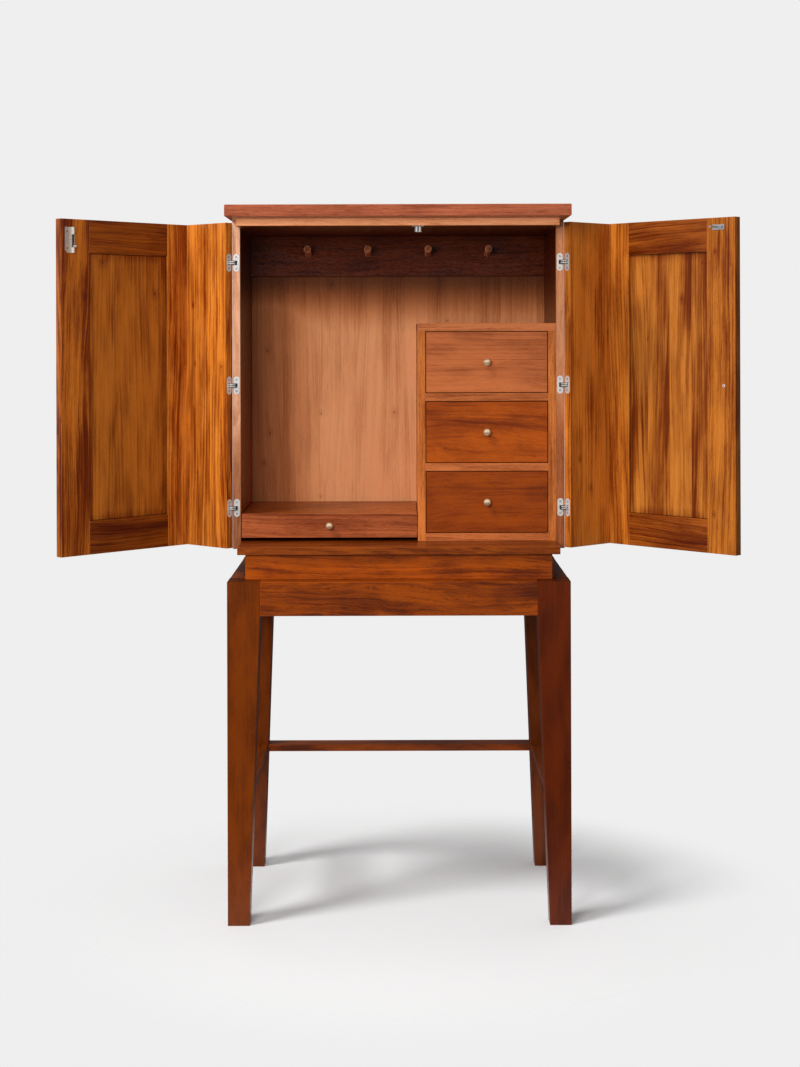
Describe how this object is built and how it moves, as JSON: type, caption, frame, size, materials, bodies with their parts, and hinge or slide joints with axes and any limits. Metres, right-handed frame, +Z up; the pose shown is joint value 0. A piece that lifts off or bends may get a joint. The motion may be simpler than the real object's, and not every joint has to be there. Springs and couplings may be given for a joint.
{
  "type": "bar cabinet",
  "caption": "Tall wooden coffee and bar cabinet on an open stand with tapered legs: L-shaped hinged doors, a pull-out shelf, small drawers and a rail of mug pegs.",
  "frame": {"origin": "on the floor, in the middle of the object's box", "axes": "+Z up, +Y towards the back, +X to the right as seen from the front"},
  "size_m": [1.7632, 0.656, 1.863],
  "materials": {
    "wood": "satin lacquer",
    "panel_wood": "satin lacquer",
    "drawer_wood": "plain, lightly oiled",
    "brass": "satin, pale",
    "nickel": "bright nickel plate",
    "slide_steel": "zinc plate"
  },
  "bodies": {
    "cabinet": {"back_panel": "panel_wood", "base_board": "wood", "drawer_case_shelves": "wood", "drawer_case_sides": "wood", "drawer_case_top": "wood", "inner_top_board": "wood", "left_side_board": "wood", "mug_pegs": "wood", "peg_rail": "wood", "plinth_boards": "wood", "pull_shelf_slide_channels": "slide_steel", "right_side_board": "wood", "roller_catch_case": "nickel", "roller_catch_rollers": "nickel", "side_hinge_cups": "nickel", "stand_back_left_leg": "wood", "stand_back_rail": "wood", "stand_back_right_leg": "wood", "stand_back_stretcher": "wood", "stand_front_left_leg": "wood", "stand_front_rail": "wood", "stand_front_right_leg": "wood", "stand_side_rails": "wood", "stand_side_stretchers": "wood", "stand_top_panel": "wood", "top_slab": "wood"},
    "left_door": {"left_door_bolt_case": "nickel", "left_door_corner_stile": "wood", "left_door_hinge_cups": "nickel", "left_door_meeting_stile": "wood", "left_door_panel": "wood", "left_door_rails": "wood", "left_door_side_board": "wood"},
    "right_door": {"right_door_catch_strike": "nickel", "right_door_corner_stile": "wood", "right_door_hinge_cups": "nickel", "right_door_knob": "brass", "right_door_meeting_stile": "wood", "right_door_panel": "wood", "right_door_rails": "wood", "right_door_side_board": "wood"},
    "left_inner_links": {"left_hinge_inner_links": "nickel"},
    "left_outer_links": {"left_hinge_outer_links": "nickel"},
    "right_inner_links": {"right_hinge_inner_links": "nickel"},
    "right_outer_links": {"right_hinge_outer_links": "nickel"},
    "drawer_1": {"drawer_1_box": "drawer_wood", "drawer_1_front": "wood", "drawer_1_knob": "brass"},
    "drawer_2": {"drawer_2_box": "drawer_wood", "drawer_2_front": "wood", "drawer_2_knob": "brass"},
    "drawer_3": {"drawer_3_box": "drawer_wood", "drawer_3_front": "wood", "drawer_3_knob": "brass"},
    "pull_shelf": {"pull_shelf_apron": "wood", "pull_shelf_board": "wood", "pull_shelf_knob": "brass", "pull_shelf_side_rails": "wood", "pull_shelf_slide_runners": "slide_steel"},
    "bolt_rod": {"left_door_bolt_rod": "nickel"}
  },
  "joints": [
    {"name": "left_door_hinge", "type": "hinge", "parent": "cabinet", "child": "left_door", "pos_m": [-0.445, -0.0944, 1.394], "axis": [0, 0, -1], "range_deg": [-133.2, 41.8]},
    {"name": "right_door_hinge", "type": "hinge", "parent": "cabinet", "child": "right_door", "pos_m": [0.445, -0.0944, 1.394], "axis": [0, 0, 1], "range_deg": [-133.2, 41.8]},
    {"name": "left_inner_links_turn", "type": "hinge", "parent": "cabinet", "child": "left_inner_links", "pos_m": [-0.445, -0.0944, 1.394], "axis": [0, 0, -1], "range_deg": [-37, 12]},
    {"name": "left_outer_links_turn", "type": "hinge", "parent": "cabinet", "child": "left_outer_links", "pos_m": [-0.445, -0.0944, 1.394], "axis": [0, 0, -1], "range_deg": [-97, 31]},
    {"name": "right_inner_links_turn", "type": "hinge", "parent": "cabinet", "child": "right_inner_links", "pos_m": [0.445, -0.0944, 1.394], "axis": [0, 0, 1], "range_deg": [-37, 12]},
    {"name": "right_outer_links_turn", "type": "hinge", "parent": "cabinet", "child": "right_outer_links", "pos_m": [0.445, -0.0944, 1.394], "axis": [0, 0, 1], "range_deg": [-97, 31]},
    {"name": "drawer_1_slide", "type": "slide", "parent": "cabinet", "child": "drawer_1", "axis": [0, -1, 0], "range_m": [0, 0.27]},
    {"name": "drawer_2_slide", "type": "slide", "parent": "cabinet", "child": "drawer_2", "axis": [0, -1, 0], "range_m": [0, 0.27]},
    {"name": "drawer_3_slide", "type": "slide", "parent": "cabinet", "child": "drawer_3", "axis": [0, -1, 0], "range_m": [0, 0.27]},
    {"name": "pull_shelf_slide", "type": "slide", "parent": "cabinet", "child": "pull_shelf", "axis": [0, -1, 0], "range_m": [0, 0.25]},
    {"name": "bolt_slide", "type": "slide", "parent": "left_door", "child": "bolt_rod", "axis": [0, 0, 1], "range_m": [0, 0.028]}
  ],
  "couplings": [
    {"joint": "left_inner_links_turn", "follows": "left_door_hinge", "ratio": 0.275},
    {"joint": "left_outer_links_turn", "follows": "left_door_hinge", "ratio": 0.725},
    {"joint": "right_inner_links_turn", "follows": "right_door_hinge", "ratio": 0.275},
    {"joint": "right_outer_links_turn", "follows": "right_door_hinge", "ratio": 0.725}
  ]
}
